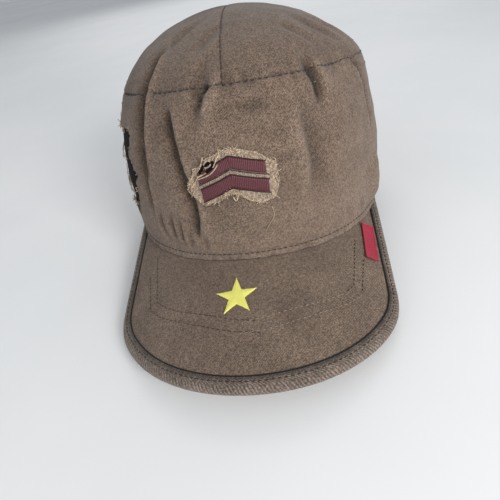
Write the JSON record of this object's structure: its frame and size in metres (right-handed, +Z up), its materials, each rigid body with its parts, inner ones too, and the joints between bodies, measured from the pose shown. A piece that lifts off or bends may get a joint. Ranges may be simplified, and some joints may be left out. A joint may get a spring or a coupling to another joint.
{
  "type": "military peaked cap",
  "caption": "Soft twill field cap with a curved bound visor, domed crown, star and chevron patch, torn side and a strap with a clasp buckle.",
  "frame": {"origin": "on the table under the middle of the cap's box; the cap stands on its visor and rear hem", "axes": "visor points along -Y, +X is the wearer's left, +Z is up"},
  "size_m": [0.1764, 0.2818, 0.1398],
  "materials": {
    "crown_cloth": "washed cotton twill, brown grey",
    "visor_cloth": "washed cotton twill, brown grey, a little darker",
    "tape_cloth": "plain woven seam tape",
    "band_cloth": "cotton sweatband cloth",
    "black_cloth": "black cotton behind the tear",
    "visor_board": "bent plastic visor board",
    "piping_cord": "dark corded edge",
    "yellow_thread": "satin-stitch embroidery thread",
    "patch_cloth": "frayed tan twill patch",
    "dark_red_thread": "dark red satin-stitch embroidery",
    "red_ribbon": "woven red ribbon",
    "buckle_metal": "aged brass"
  },
  "bodies": {
    "cap": {"front_panel": "crown_cloth", "back_panel_left": "crown_cloth", "back_panel_right": "crown_cloth", "top_panel_left": "crown_cloth", "top_panel_right": "crown_cloth", "crown_seam_tape": "tape_cloth", "centre_seam_tape": "tape_cloth", "torn_underlay": "black_cloth", "sweatband": "band_cloth", "visor_top_cover": "visor_cloth", "visor_board": "visor_board", "visor_under_cover": "visor_cloth", "visor_binding": "visor_cloth", "visor_piping": "piping_cord", "star_embroidery": "yellow_thread", "patch_ground": "patch_cloth", "chevron_upper": "dark_red_thread", "chevron_lower": "dark_red_thread", "side_tag": "red_ribbon", "opening_binding": "crown_cloth", "size_strap": "crown_cloth", "strap_anchor_tab": "crown_cloth", "buckle_frame": "buckle_metal"},
    "gate": {"buckle_gate": "buckle_metal"}
  },
  "joints": [
    {"name": "gate_hinge", "type": "hinge", "parent": "cap", "child": "gate", "pos_m": [-0.00825, 0.13735, 0.01137], "axis": [0, -0.1457, -0.9893], "range_deg": [0, 110]}
  ]
}
